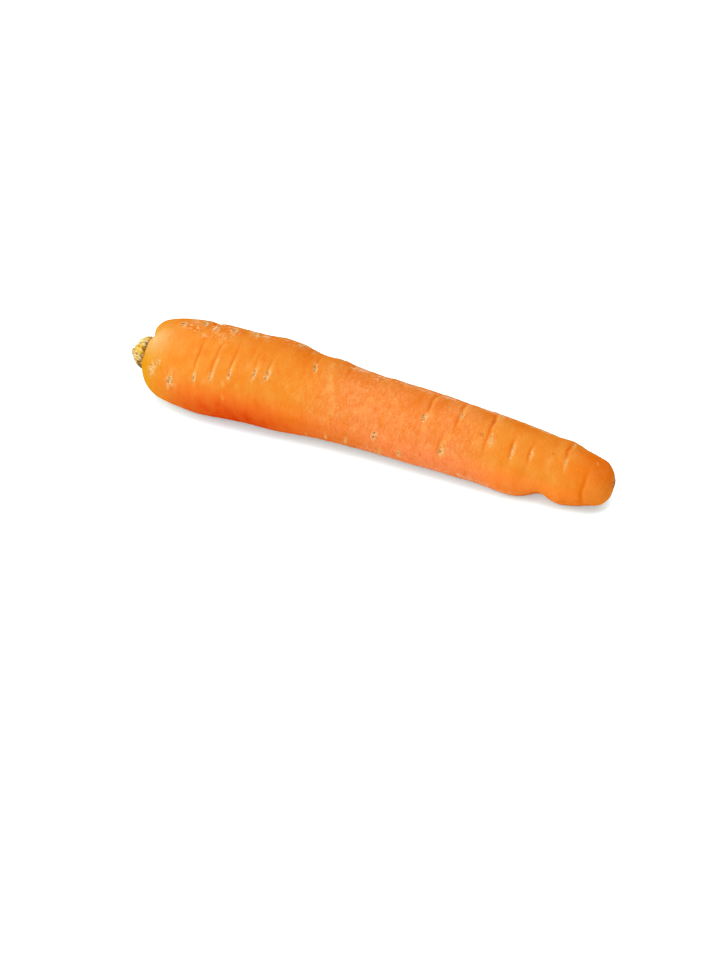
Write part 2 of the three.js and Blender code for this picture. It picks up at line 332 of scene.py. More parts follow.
# Dents of the crown's face: [from the axis, angle, reach, reach round, depth]
CROWN_DENTS = [
    [8.3, 80, 2.6, 30, 1.2],
    [12.6, 106, 2.2, 22, -0.6],
    [11.8, 72, 3.4, 10, 1.4],
    [11.2, 46, 3.0, 16, 0.5],
    [10.5, 30, 2.6, 12, 0.5],
    [7.2, 300, 2.0, 40, 0.3],
    [8.4, 200, 2.4, 30, 0.4],
]

# Pores: [from the crown, angle, radius]
PORES = [[140.6, 52.5, 0.6], [166.4, 63, 0.35], [61.5, 200, 0.5], [118, 236, 0.4], [92, 158, 0.6]]

# Folds of the crown's face round the stub
FOLD_COUNT = 11
FOLD_DEPTH = 0.14
FOLD_RING = 7.2  # from the axis
FOLD_REACH = 1.8

# Pit at the tip: [off the pole to the back, up, radius]
TIP_PIT = [1.2, 1.3, 1.7]
PIT_RIM = 0.4
PIT_DEPTH = 0.5
PIT_ZONE = 5  # the length of the tip that can hold the pit
MARK_EDGE = 3  # distances from a pit or a pore are cut off at so many radii

# Wrinkles of the skin: [height, rings, columns]; the lumps are on the tip alone
WRINKLES = [[0.03, 1.4, 9], [0.05, 9, 9]]
TIP_LUMPS = [0.16, 6, 6]
TIP_LUMPS_RISE = (177, 183)

# Zones of the skin's colour, some of them painted light and shade: a rise or fade runs between two
# distances from the crown, a span rises and falls between four, a bell has a middle and a reach, and a
# side is
# [angle, reach round, strength].
GOLD_EDGE = (-3, 14)
GOLD_LEAN = [5, 20]  # how far the gold reaches on one side, and the angle of that side
# The waxy zone is pale skin with a painted highlight on the crown's shoulder.
WAX_SIDES = [[57, 20, 1], [190, 30, 0.6]]
WAX_BELL = (7.5, 6.5)
# The deep zone is painted shade: a darker, redder orange under the crown half and along the underside.
DEEP_BELL = (44, 30)
DEEP_STRENGTH = 0.93
DEEP_RISE = (5, 24)
DEEP_EDGE = (-0.25, 0.7)  # sines of the angle below the side
DEEP_TURN = 10  # degrees that the deep side is turned
UNDER_SPAN = (-60, -25)  # degrees from the underside
UNDER_STRENGTH = 0.45
KEEL_SPAN = (-38, -15)  # degrees from the underside, where the crown's low side is less deep
KEEL_SHARE = 0.3
TIP_FADE = (178, 186)
# The low zone is painted light: a lighter orange on the low side, and a lighter pink in the middle of it.
LOW_EDGE = (-0.2, 0.35)  # sines of the angle
LOW_GAP_BELL = (17, 8)
LOW_GAP_SHARE = 0.6
PINK_BELL = (122, 24)
ROUGH_SPAN = (62, 84, 132, 152)
BLUSH_SPAN = (66, 92, 128, 150)
BLUSH_TURN = 20  # degrees below the front, where the blush is strongest
# The tan is the tip's own colour, with painted shade that makes its upper side darker.
TAN_RISE = (168, 184)
TAN_EDGE = (0.1, 1.0)  # sines of the angle

# Rings of the fine skin, and its columns
DIMPLE_RINGS = 12
CROWN_RINGS = 52
BODY_RINGS = 380
TIP_RINGS = 44
COLUMNS = 200

SEED = 11

low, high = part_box("root")
MM = (high[0] - low[0]) / ROOT_LENGTH  # metres of one millimetre of the part


# ---- the shape of the root


def smooth_curve(knots, place):
    """Cubic curve through [place, value] knots, with slopes taken from each knot's neighbours."""
    at, value = np.array(knots, float).T
    slope = np.gradient(value, at)
    i = np.clip(np.searchsorted(at, place, side="right") - 1, 0, len(at) - 2)
    span = at[i + 1] - at[i]
    t = np.clip((place - at[i]) / span, 0, 1)
    rise = (3 - 2 * t) * t * t
    return (
        (1 - rise) * value[i]
        + rise * value[i + 1]
        + span * t * (1 - t) * ((1 - t) * slope[i] - t * slope[i + 1])
    )


def bell(distance, reach):
    """1 in the middle, falling off as exp(-(distance / reach) squared)."""
    return np.exp(-((distance / reach) ** 2))


def ease(value, start, end):
    """0 before start, 1 after end, and smooth between them as 3t squared - 2t cubed."""
    t = np.clip((value - start) / (end - start), 0, 1)
    return t * t * (3 - 2 * t)


def plateau(value, rise, top, edge, foot):
    """Eases from 0 at rise to 1 at top, and back to 0 from edge to foot."""
    return ease(value, rise, top) * (1 - ease(value, edge, foot))


def turn(a, b):
    """Degrees from angle b to angle a, the short way round."""
    return (a - b + 180) % 360 - 180


def angle_below(angle):
    """Degrees from the underside, whichever way round."""
    return np.abs(turn(angle, -90))


def girth(along):
    """Radius of the root at a place along it, before swells and creases."""
    return smooth_curve(GIRTH, np.clip(along, 0, ROOT_LENGTH))


def dimple_floor(radius):
    """The dimple is a cosine bell, deepest on the axis and level with the crest at its rim."""
    return DIMPLE_DEPTH * (1 + np.cos(np.pi * np.minimum(radius / DIMPLE_RADIUS, 1))) / 2


def meridian():
    """Stations from the dimple's floor to the tip, as arrays of distance along and radius."""
    inner = DIMPLE_RADIUS * np.arange(1, DIMPLE_RINGS) / DIMPLE_RINGS
    f = np.pi / 2 * np.arange(CROWN_RINGS) / CROWN_RINGS
    crown = CROWN_LENGTH * (1 - np.cos(f) ** CROWN_BLUNTNESS)
    shoulder = DIMPLE_RADIUS + (girth(crown) - DIMPLE_RADIUS) * np.sin(f) ** CROWN_FLARE
    body = np.linspace(CROWN_LENGTH, ROOT_LENGTH - TIP_LENGTH, BODY_RINGS, endpoint=False)
    g = np.pi / 2 * np.arange(TIP_RINGS) / TIP_RINGS
    tip = ROOT_LENGTH - TIP_LENGTH * (1 - np.sin(g))
    blunt = girth(tip) * np.cos(g) ** TIP_BLUNTNESS
    along = np.concatenate([dimple_floor(inner), crown, body, tip])
    radius = np.concatenate([inner, shoulder, girth(body), blunt])
    return along, radius


def back_draws():
    """Places of the two back rows, [from the crown, angle, draw], spaced by golden-ratio draws."""
    found = []
    for row, (start, first) in enumerate(BACK_ROWS):
        for n in range(int((BACK_END - first) // BACK_PITCH)):
            draw = ((n + 1) * GOLDEN + row * 0.37) % 1
            x = first + BACK_PITCH * (n + 0.6 * draw)
            found.append([x, start + ROW_TWIST * x, draw])
    return found


def back_creases():
    """A crease at each place of the back rows, deeper and wider with its draw."""
    return [[x, a, 14 + 16 * draw, 0.25 + 0.3 * draw, 0.9, 0.01] for x, a, draw in back_draws()]


def hidden_scars():
    """Scars of the back rows and the underside, of uneven length, tilt and openness."""
    found = [
        [x + 0.2, a - 4, 3.4 + 2.4 * draw, 1.1 + 0.6 * draw, 14 * draw - 7, 0.2 + 0.7 * draw]
        for x, a, draw in back_draws()
    ]
    start, first, last, pitch = UNDER_ROW
    for n in range((last - first) // pitch):
        draw = (n + 1) * GOLDEN % 1
        x = first + pitch * (n + 0.5 * draw)
        angle = start - 16 * draw - 0.1 * x
        found.append([x, angle, 3 + 2 * draw, 1 + 0.5 * draw, 10 * draw - 5, 0.8 * draw])
    return found


def swelling(along, angle):
    """Sum of bells, each at its own place and angle."""
    return sum(
        height * bell(along - x, reach) * bell(turn(angle, a), spread)
        for x, a, reach, spread, height in SWELLS
    )


def past_crease(along, angle, place, middle, lean):
    """Distance past a crease, which leans steadily and strays by two sines set by its place."""
    a = np.radians(angle)
    stray = 0.25 * np.sin(5 * a + 2.3 * place) + 0.15 * np.sin(11 * a + 1.7 * place)
    return along - place - lean * turn(angle, middle) - stray


def creasing(along, angle):
    """Each crease is a groove between two low lips, (1 - u2) exp(-u2), deepest at its angle, and
    the root swells past it and sinks before it as t exp(1 - t), t being the distance over 2.4."""
    relief = 0
    for x, a, spread, depth, half, lean in CREASES + back_creases():
        ahead = past_crease(along, angle, x, a, lean)
        u2 = (ahead / half) ** 2
        uneven = 0.85 + 0.25 * np.sin(np.radians(9 * angle) + 3.1 * x)
        t = np.abs(ahead) / 2.4
        step = np.where(ahead > 0, 0.4, -0.25) * t * np.exp(1 - t)
        reach = depth * bell(turn(angle, a), spread)
        relief = relief + reach * (step - uneven * (1 - u2) * np.exp(-u2))
    return relief


def round_from(angle, a, x):
    """Millimetres round the root from angle a, by the girth at x."""
    return np.radians(turn(angle, a)) * girth(np.array(float(x)))


def scar_places(along, angle):
    """For each point, where it lies in its nearest scar: across and along the scar in halves of
    its width and length, the scar's openness, and the distance from its middle in those halves."""
    scars = SCARS + hidden_scars()
    best = np.full(along.shape, np.inf)
    across, length_wise, openness = np.zeros((3, *along.shape))
    for x, a, length, width, tilt, open_share in scars:
        ahead = along - x
        around = round_from(angle, a, x)
        c, s = math.cos(math.radians(tilt)), math.sin(math.radians(tilt))
        u = 2 * (ahead * c - around * s) / width
        v = 2 * (around * c + ahead * s) / length
        rho = np.hypot(u, v)
        nearer = rho < best
        best = np.where(nearer, rho, best)
        across = np.where(nearer, u, across)
        length_wise = np.where(nearer, v, length_wise)
        openness = np.where(nearer, open_share, openness)
    return across, length_wise, openness, best


def scarring(across, length_wise, openness, rho):
    """A scar has a raised rim, a bell of the distance about 0.9, and a slit along its middle."""
    rim = (0.09 + 0.1 * openness) * bell(rho - 0.9, 0.45)
    slit = -(0.1 + 0.35 * openness) * bell(across, 0.35) * bell(length_wise, 0.6)
    return rim + slit


def crease_shade_and_light(along, angle):
    """How much painted shade each crease lays on its floor, and how much painted light on the raised edge
    on its tip side.
    """
    floor, lit_lip = np.zeros((2, *along.shape))
    for x, a, spread, depth, half, lean in CREASES + back_creases():
        reach = bell(turn(angle, a), spread) * min(depth / 0.45, 1)
        ahead = past_crease(along, angle, x, a, lean)
        floor = np.maximum(floor, reach * bell(ahead + 0.3 * half, 0.4 * half))
        lit_lip = np.maximum(lit_lip, reach * bell(ahead - 0.9 * half, 0.6 * half))
    return floor, lit_lip


def tip_pit(points):
    """Distance from the middle of the pit where the thin end of the root broke off, in its radii."""
    pole = points[-1].mean(0)
    off = (points - pole - np.array([0, *TIP_PIT[:2]])) / TIP_PIT[2]
    radii = np.minimum(np.hypot(off[..., 1], off[..., 2]), MARK_EDGE)
    return np.where(points[..., 0] > ROOT_LENGTH - PIT_ZONE, radii, MARK_EDGE)


def pore_marks(along, angle):
    """Distance from the nearest pore's middle, in its radii."""
    best = np.full(along.shape, float(MARK_EDGE))
    for x, a, radius in PORES:
        best = np.minimum(best, np.hypot(along - x, round_from(angle, a, x)) / radius)
    return best


def grain(shape, rings, columns, seed):
    """Random numbers smoothed by a Gaussian of so many rings and columns, with a spread of 1."""
    noise = np.random.default_rng(SEED + seed).normal(size=shape)
    along, around = np.meshgrid(
        np.fft.fftfreq(shape[0]) * rings, np.fft.fftfreq(shape[1]) * columns, indexing="ij"
    )
    soft = np.fft.ifft2(np.fft.fft2(noise) * np.exp(-2 * np.pi**2 * (along**2 + around**2))).real
    return soft / soft.std()


def patches(table, along, angle):
    """The strongest of the patches at each point, each a bell along and round the root, which
    leans by so many millimetres for a degree."""
    best = np.zeros(along.shape)
    for x, a, reach, spread, strength, lean in table:
        around = turn(angle, a)
        ahead = along - x - lean * around
        best = np.maximum(best, strength * bell(ahead, reach) * bell(around, spread))
    return best


def crown_face(ring, angle):
    """Depth of the crown's dents, each a bell out and round, and of the folds round the stub,
    a cosine of the angle that strays by a sine."""
    dents = sum(
        depth * bell(ring - out, reach) * bell(turn(angle, a), spread)
        for out, a, reach, spread, depth in CROWN_DENTS
    )
    folds = np.cos(np.radians(FOLD_COUNT * angle) + 0.9 * np.sin(np.radians(4 * angle)))
    return dents + FOLD_DEPTH * folds * bell(ring - FOLD_RING, FOLD_REACH)


def wrinkling(along):
    """Smoothed random wrinkles of two sizes, and lumps that rise towards the tip."""
    wrinkles = sum(
        height * grain(along.shape, rings, columns, seed)
        for seed, (height, rings, columns) in enumerate(WRINKLES, 1)
    )
    height, rings, columns = TIP_LUMPS
    lumps = height * grain(along.shape, rings, columns, len(WRINKLES) + 1)
    return wrinkles + lumps * ease(along, *TIP_LUMPS_RISE)


def skin_grid():
    """Grids of the skin's points in millimetres, its places along and its angles round.

    Each ring of the meridian is a circle of its own radius plus swells, creases, scars and
    wrinkles, set round the bowed middle line and cut off at the floor. The points then move along
    the root by the pit, a rim about 0.9 of its radius less a bell at its middle, and by the
    crown's face.
    """
    along, radius = meridian()
    columns = 360 * np.arange(COLUMNS) / COLUMNS
    x, angle = np.meshgrid(along, columns, indexing="ij")
    ring = np.repeat(radius[:, None], COLUMNS, axis=1)
    share = np.minimum(ring / girth(x), 1)
    fine = share * (scarring(*scar_places(x, angle)) + wrinkling(x))
    reach = ring + share * (swelling(x, angle) + creasing(x, angle)) + fine
    y = smooth_curve(BOW, x) - reach * np.cos(np.radians(angle))
    z = girth(x) + smooth_curve(CLEARANCE, x) + reach * np.sin(np.radians(angle))
    points = np.stack([x, y, np.maximum(z, 0)], axis=-1)
    pit = tip_pit(points)
    points[..., 0] += PIT_RIM * bell(pit - 0.9, 0.35) - PIT_DEPTH * bell(pit, 0.5)
    points[..., 0] += crown_face(ring, angle) * (x < CROWN_LENGTH)
    return points, x, angle


def shell(start, rings, end):
    """Points and faces of a closed shell: rings of points between a start point and an end point."""
    count, sides = rings.shape[:2]
    points = np.concatenate([[start], rings.reshape(-1, 3), [end]])
    at = 1 + np.arange(count * sides).reshape(count, sides)
    beside = np.roll(at, -1, axis=1)
    quads = np.stack([at[:-1], at[1:], beside[1:], beside[:-1]], axis=-1).reshape(-1, 4)
    first = np.stack([np.zeros(sides, int), at[0], beside[0]], axis=-1)
    last = np.stack([np.full(sides, len(points) - 1), beside[-1], at[-1]], axis=-1)
    return points, first.tolist() + quads.tolist() + last.tolist()


def scene_object(name, data):
    """A new object of the data, linked to the scene."""
    thing = bpy.data.objects.new(name, data)
    bpy.context.scene.collection.objects.link(thing)
    return thing


def joined(name, shells, material, node):
    """One smooth piece of one or more shells, which rides on the root and stands for the node."""
    starts = np.cumsum([0] + [len(points) for points, _ in shells])
    points = np.concatenate([points for points, _ in shells])
    faces = [[i + start for i in face] for (_, part), start in zip(shells, starts) for face in part]
    mesh = bpy.data.meshes.new(name)
    mesh.from_pydata(points.tolist(), [], faces)
    mesh.update()
    mesh.shade_smooth()
    mesh.materials.append(material)
    piece = scene_object(name, mesh)
    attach(piece, "root")
    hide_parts(node)
    return piece


def mark(piece, name, fields):
    """Keeps fields of the shells' rings as a number at each vertex; ends take their ring's mean."""
    flat = np.concatenate([[f[0].mean(), *f.ravel(), f[-1].mean()] for f in fields])
    attribute = piece.data.attributes.new(name, "FLOAT", "POINT")
    attribute.data.foreach_set("value", flat.astype(np.float32))


def row_shift(points):
    """What puts the root's points, in millimetres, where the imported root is."""
    flat = points.reshape(-1, 3)
    middle = (flat.max(0) + flat.min(0)) / 2
    return np.array([low[0] / MM, (low[1] + high[1]) / 2 / MM - middle[1], 0])


def gold_zone(x, angle):
    """Gold by the crown, fading between two places that lean round the root by a cosine."""
    reach, side = GOLD_LEAN
    return 1 - ease(x - reach * np.cos(np.radians(angle - side)), *GOLD_EDGE)


def wax_and_highlight_zone(x, angle):
    """Pale waxy skin and a painted highlight on two sides of the crown's shoulder, each a bell round the
    root.
    """
    sides = [strength * bell(turn(angle, a), reach) for a, reach, strength in WAX_SIDES]
    middle, reach = WAX_BELL
    return np.maximum(*sides) * bell(x - middle, reach)


def deep_shade_zone(x, angle):
    """Painted shade below: a darker, redder orange, strongest in a bell of the crown half, with a band
    along the underside.
    """
    middle, reach = DEEP_BELL
    below = ease(-np.sin(np.radians(angle - DEEP_TURN)), *DEEP_EDGE)
    under = UNDER_STRENGTH * ease(-angle_below(angle), *UNDER_SPAN)
    crown_low = below * (0.2 + 0.8 * bell(x - middle, reach))
    crown_low = crown_low * (1 - KEEL_SHARE * ease(-angle_below(angle), *KEEL_SPAN))
    off_tip = 1 - ease(x, *TIP_FADE)
    return DEEP_STRENGTH * np.maximum(crown_low, under) * ease(x, *DEEP_RISE) * off_tip


def low_light_zone(x, angle):
    """Where painted light falls on the low side: 1 on the low side and 0 on the upper, by an ease of the
    sine, less a bell by the crown.
    """
    middle, reach = LOW_GAP_BELL
    lit_low_side = 1 - ease(np.sin(np.radians(angle)), *LOW_EDGE)
    return lit_low_side * (1 - LOW_GAP_SHARE * bell(x - middle, reach)) * (1 - ease(x, *TIP_FADE))


def skin_fields(points, x, angle):
    """What the skin's finish reads, as a number at each point: marks, then zones of colour, some of them
    painted light and shade.
    """
    across, length_wise, openness, rho = scar_places(x, angle)
    floor, lit_lip = crease_shade_and_light(x, angle)
    lit_low_side = low_light_zone(x, angle)
    middle, reach = PINK_BELL
    facing_front = 0.65 + 0.35 * np.cos(np.radians(angle + BLUSH_TURN))
    upper = 0.55 + 0.45 * ease(np.sin(np.radians(angle)), *TAN_EDGE)
    return {
        "scar_across": across,
        "scar_along": length_wise,
        "scar_open": openness,
        "scar_near": 1 - ease(rho, 2.2, 3),
        "crease": floor,
        "lit_lip": lit_lip,
        "smear_and_highlight": patches(SMEARS_AND_HIGHLIGHTS, x, angle),
        "shade": patches(SHADES, x, angle),
        "pore": pore_marks(x, angle),
        "tip_pit": tip_pit(points),
        "rub_and_sheen": patches(RUBS_AND_SHEEN, x, angle),
        "scuff": patches(SCUFFS, x, angle),
        "gold": gold_zone(x, angle),
        "wax_and_highlight": wax_and_highlight_zone(x, angle),
        "deep_shade": deep_shade_zone(x, angle),
        "lit_low_side": lit_low_side,
        "lit_low_pink": lit_low_side * bell(x - middle, reach),
        "rough_skin": 0.25 + 0.75 * plateau(x, *ROUGH_SPAN),
        "blush": plateau(x, *BLUSH_SPAN) * facing_front,
        "tan": ease(x, *TAN_RISE) * upper,
    }


def make_skin(points, x, angle, shift):
    """The skin is a closed shell of the grid's rings, from the dimple's floor to the tip."""
    rings = (points + shift) * MM
    start = rings[0].mean(0)
    start[0] = (DIMPLE_DEPTH + shift[0]) * MM
    end = rings[-1].mean(0)
    end[0] = high[0]
    skin = joined("carrot_skin", [shell(start, rings, end)], skin_finish(), "root")
    for name, field in skin_fields(points, x, angle).items():
        mark(skin, name, [field])


# ---- the shape of the leaf stub

STUB_HEIGHT = 8.4  # past the crest of the crown
STUB_LEAN = (0.6, 1.3)  # how far its top leans to the back and up
STUB_SLOPE = 0.18  # how much taller its stalks are at the front and below
STUB_SUNK = 0.5  # how deep its stalks stand in the dimple
HEART_RADIUS = 5.2

# Rings of cut leaf stalks: [stalks, ring's radius, half width, half thickness, lowest, highest,
# lean of the stalks, slant of their cuts]; the heights are shares of the stub's
STALK_RINGS = [
    [12, 5.0, 1.6, 1.1, 0.60, 0.68, -0.6, -0.6],
    [7, 3.3, 1.6, 1.1, 0.74, 0.80, -0.4, -0.5],
    [3, 1.2, 1.3, 1.1, 0.81, 0.85, -0.1, -0.2],
]
LOW_BROWN_SIDE = -30  # the angle whose stalks are brown low down
LOW_BROWN_REACH = 22  # degrees
STALK_LEVELS = 26
CUT_LEVELS = 8
STALK_SIDES = 44
HEART_TOP = 0.66  # share of the stub's height
HEART_LEVELS = 24
HEART_SIDES = 72
SCALE_COUNT = 6
SCALE_WIDTH = 1.7
SCALE_THICKNESS = 0.16
SCALE_LEVELS = 16
SCALE_SIDES = 40


def stub_middle():
    """Where the dimple's axis crosses the crest: the point that the stub is built round."""
    y = float(smooth_curve(BOW, np.array(float(DIMPLE_DEPTH))))
    along = np.array(float(DIMPLE_DEPTH))
    return np.array([0, y, float(girth(along) + smooth_curve(CLEARANCE, along))])


def leaned(x, y, z):
    """Moves the stub's points off the dimple's axis in step with their height past the crest."""
    share = np.maximum(-x, 0) / STUB_HEIGHT
    return np.stack([x, y + STUB_LEAN[0] * share, z + STUB_LEAN[1] * share], axis=-1)


def leaf_stalk(ring, angle, wide, thin, height, lean, slant, seed):
    """A cut leaf stalk as a grid of levels and sides, with its share of the height and its cut.

    The section is a crescent: an oval, thin across and wide round, bent round the dimple's axis.
    It swells as a sine up the stalk and carries ribs, cosines of its turn, and random dents. Its
    rim is rounded by part of a circle and ragged, and the cut face slants and falls inwards as a
    shallow bowl. The stalk leans with the square of its height.
    """
    level = np.concatenate([np.linspace(0, 1, STALK_LEVELS), np.ones(CUT_LEVELS)])[:, None]
    inward = np.concatenate([np.zeros(STALK_LEVELS), np.linspace(0.08, 0.9, CUT_LEVELS)])[:, None]
    turned = 2 * np.pi * np.arange(STALK_SIDES)[None, :] / STALK_SIDES
    rounding = np.sqrt(1 - np.clip((level - 0.72) / 0.28, 0, 1) ** 2 * 0.72)
    size = (0.85 + 0.3 * np.sin(np.pi * level**0.9)) * rounding * (1 - inward)
    ribs = 1 + 0.04 * np.cos(7 * turned + seed) + 0.03 * np.cos(12 * turned + 2 * seed)
    dents = 0.06 * grain((level.size, STALK_SIDES), 4, 5, seed)
    across = thin * size * np.cos(turned) * (ribs + dents)
    around = wide * size * np.sin(turned) * (1 + dents)
    reach = ring + 0.5 * np.sin(np.pi * level) + lean * level**2 + across
    bent = math.radians(angle) + around / max(ring, 2.0)
    y, z = -reach * np.cos(bent), reach * np.sin(bent)
    foot = dimple_floor(np.hypot(y, z)) + STUB_SUNK
    bowl = 0.3 * thin * inward * (2 - inward)
    ragged = 0.1 * grain((1, STALK_SIDES), 0, 2, seed + 50) * level**6 * (1 - inward)
    top = -height - slant * across * level / thin + bowl + ragged
    points = leaned(foot + (top - foot) * level, y, z)
    return points, np.repeat(level, STALK_SIDES, axis=1), np.repeat(inward, STALK_SIDES, axis=1)


def stalk_list():
    """The stalks of all the rings, each of uneven height, lean and place by golden-ratio draws."""
    found = []
    for number, ring, wide, thin, lowest, highest, lean, slant in STALK_RINGS:
        for n in range(number):
            draw = (len(found) + 1) * GOLDEN % 1
            other = (len(found) + 1) * GOLDEN * 7 % 1
            place = 20 + 40 * ring + 360 * (n + 0.3 * (draw - 0.5)) / number
            share = lowest + (highest - lowest) * draw
            stalk = dict(
                ring=ring + 0.25 * (other - 0.5),
                angle=place,
                wide=wide * (0.85 + 0.3 * other),
                thin=thin,
                height=STUB_HEIGHT * share * (1 + STUB_SLOPE * math.cos(math.radians(place + 50))),
                lean=lean * (0.6 + 0.6 * other),
                slant=slant,
                seed=len(found),
            )
            found.append(stalk)
    return found


def dry_scale(angle, ring, wide, height, seed):
    """A torn dry scale round the stalks: a thin crescent, with a ragged edge of random notches."""
    level = np.linspace(0, 1, SCALE_LEVELS)[:, None]
    turned = 2 * np.pi * np.arange(SCALE_SIDES)[None, :] / SCALE_SIDES
    size = 1 - 0.5 * level**2
    across = SCALE_THICKNESS * np.cos(turned) * (1.2 - 0.8 * level)
    around = wide * size * np.sin(turned)
    reach = ring + 0.5 * level + across
    bent = math.radians(angle) + around / ring
    y, z = -reach * np.cos(bent), reach * np.sin(bent)
    foot = dimple_floor(np.hypot(y, z)) + STUB_SUNK
    ragged = 0.5 * grain((1, SCALE_SIDES), 0, 1.6, seed + 70)
    top = -height + ragged
    return leaned(foot + (top - foot) * level, y, z)


def scale_list():
    """Dry scales spread round the stub, each of uneven place and height by golden-ratio draws."""
    return [
        dry_scale(30 + 61 * n, 4.9 + 0.3 * (n * GOLDEN % 1), SCALE_WIDTH, 1.2 + 1.4 * (n * 0.37 % 1), n)
        for n in range(SCALE_COUNT)
    ]


def heart():
    """The heart that the stalks grow from: a rough dome with its radius falling as a cosine."""
    level = np.linspace(0, 0.97, HEART_LEVELS)[:, None]
    turned = 2 * np.pi * np.arange(HEART_SIDES)[None, :] / HEART_SIDES
    radius = HEART_RADIUS * np.cos(np.pi / 2 * level**2.2) ** 0.6
    radius = radius * (1 + 0.03 * grain((HEART_LEVELS, HEART_SIDES), 2, 3, 90))
    y, z = -radius * np.cos(turned), radius * np.sin(turned)
    foot = dimple_floor(radius) + STUB_SUNK
    return leaned(foot + (-HEART_TOP * STUB_HEIGHT - foot) * level, y, z)


def placed(points, shift):
    """A shell of the stub's points, put on the crown and closed at its two ends."""
    rings = (points + stub_middle() + shift) * MM
    return shell(rings[0].mean(0), rings, rings[-1].mean(0))


def make_stub(shift):
    """The stub's three pieces: its stalks, the heart between them and the scales round them."""
    listed = stalk_list()
    made = [leaf_stalk(**stalk) for stalk in listed]
    levels = [level for _, level, _ in made]
    shells = [placed(points, shift) for points, _, _ in made]
    stalks = joined("leaf_stalks", shells, stalk_finish(), "leaf_stub")
    mark(stalks, "height", levels)
    mark(stalks, "cut", [inward for _, _, inward in made])
    mark(stalks, "tone", [level * 0 + (n + 1) * GOLDEN * 4 % 1 for n, level in enumerate(levels)])
    low_brown = [bell(turn(stalk["angle"], LOW_BROWN_SIDE), LOW_BROWN_REACH) for stalk in listed]
    mark(stalks, "low_brown", [level * 0 + share for share, level in zip(low_brown, levels)])
    joined("stub_heart", [placed(heart(), shift)], heart_finish(), "leaf_stub")
    shells = [placed(points, shift) for points in scale_list()]
    joined("dry_scales", shells, scale_finish(), "leaf_stub")


# ---- materials


class Finish:
    """A node material being built; colours are (red, green, blue) of the light they reflect."""

    def __init__(self, name):
        self.material = bpy.data.materials.new(name)
        self.material.use_nodes = True
        self.tree = self.material.node_tree
        self.shader = self.tree.nodes["Principled BSDF"]
        place = self.add("ShaderNodeTexCoord").outputs["Object"]
        self.place = self.vector("SCALE", place, 1 / MM)  # in millimetres
        self.colour = None  # of the coats so far

    def add(self, kind, **settings):
        """A new node of the kind, with its settings."""
        node = self.tree.nodes.new(kind)
        for name, value in settings.items():
            setattr(node, name, value)
        return node

    def feed(self, socket, value):
        """Links an output to the socket, or sets the socket to a plain value."""
        if isinstance(value, bpy.types.NodeSocket):
            self.tree.links.new(value, socket)
        elif isinstance(value, tuple) and socket.type == "RGBA":
            socket.default_value = (*value, 1)
        else:
            socket.default_value = value

    def vector(self, operation, first, second):
        """Vector maths; SCALE takes a number as its second value."""
        node = self.add("ShaderNodeVectorMath", operation=operation)
        self.feed(node.inputs[0], first)
        self.feed(node.inputs["Scale" if operation == "SCALE" else 1], second)
        return node.outputs[0]

    def math(self, operation, first, second=0.0):
        node = self.add("ShaderNodeMath", operation=operation)
        self.feed(node.inputs[0], first)
        self.feed(node.inputs[1], second)
        return node.outputs[0]

    def field(self, name):
        """The piece's own number of that name."""
        return self.add("ShaderNodeAttribute", attribute_name=name).outputs["Fac"]

    def noise(self, size, detail=2.0, stretch=(1, 1, 1), roughness=0.5):
        """Noise whose blots are about so many millimetres across, and longer where stretched."""
        scaled = self.vector("MULTIPLY", self.place, tuple(1 / (size * s) for s in stretch))
        node = self.add("ShaderNodeTexNoise")
        self.feed(node.inputs["Vector"], scaled)
        self.feed(node.inputs["Scale"], 1.0)
        self.feed(node.inputs["Detail"], detail)
        self.feed(node.inputs["Roughness"], roughness)
        return node.outputs["Fac"]

    def ease(self, value, start, end, low=0.0, high=1.0):
        """Smooth step of the value from low at start to high at end."""
        node = self.add("ShaderNodeMapRange", interpolation_type="SMOOTHSTEP")
        for socket, number in zip(node.inputs, (value, start, end, low, high)):
            self.feed(socket, number)
        return node.outputs[0]

    def mix(self, share, first, second):
        node = self.add("ShaderNodeMix", data_type="RGBA")
        self.feed(node.inputs[0], share)
        self.feed(node.inputs[6], first)
        self.feed(node.inputs[7], second)
        return node.outputs[2]

    def coat(self, tint, *shares):
        """Mixes the tint over the colour so far, by the product of the shares."""
        self.colour = self.mix(self.times(*shares), self.colour, tint)

    def bump(self, height, depth, strength, normal=None):
        """Raises the surface by the height times so many millimetres."""
        node = self.add("ShaderNodeBump")
        self.feed(node.inputs["Height"], height)
        self.feed(node.inputs["Distance"], depth * MM)
        self.feed(node.inputs["Strength"], strength)
        if normal:
            self.feed(node.inputs["Normal"], normal)
        return node.outputs[0]

    def times(self, first, *others):
        """Product of all the values."""
        for other in others:
            first = self.math("MULTIPLY", first, other)
        return first

    def sum(self, first, second):
        return self.math("ADD", first, second)

    def stray(self, noise, reach):
        """The noise less its middle, 0.5, times the reach."""
        return self.times(self.math("SUBTRACT", noise, 0.5), reach)

    def scar_marks(self):
        """Ragged patches in each scar: its inside, the flecks of cork in that, the dark specks along
        its middle, and a halo round it."""
        fine = self.noise(0.42, 2.0)
        specks = self.noise(0.85, 1.0)
        ragged = self.noise(1.0, 3.0)
        u = self.sum(self.field("scar_across"), self.stray(ragged, 2.4))
        v = self.sum(self.field("scar_along"), self.stray(ragged, 1.3))
        rho = self.math("SQRT", self.sum(self.times(u, u), self.times(v, v)))
        near = self.field("scar_near")
        inside = self.times(self.ease(rho, 1.2, 0.65), near)
        whole = self.ease(self.field("scar_open"), 0.0, 0.7, 0.45, 0.95)
        cork = self.times(inside, self.ease(fine, 0.42, 0.56, 0.12, 1.0), whole)
        slit = self.ease(self.math("ABSOLUTE", self.sum(u, 0.4)), 0.7, 0.3)
        slit = self.times(slit, self.ease(self.math("ABSOLUTE", v), 0.95, 0.5), near)
        slit = self.times(slit, self.ease(specks, 0.54, 0.45), self.field("scar_open"))
        halo = self.times(self.ease(rho, 2.3, 0.9), near)
        return {"inside": inside, "cork": cork, "slit": slit, "halo": halo}

    def set(self, socket, value):
        self.feed(self.shader.inputs[socket], value)


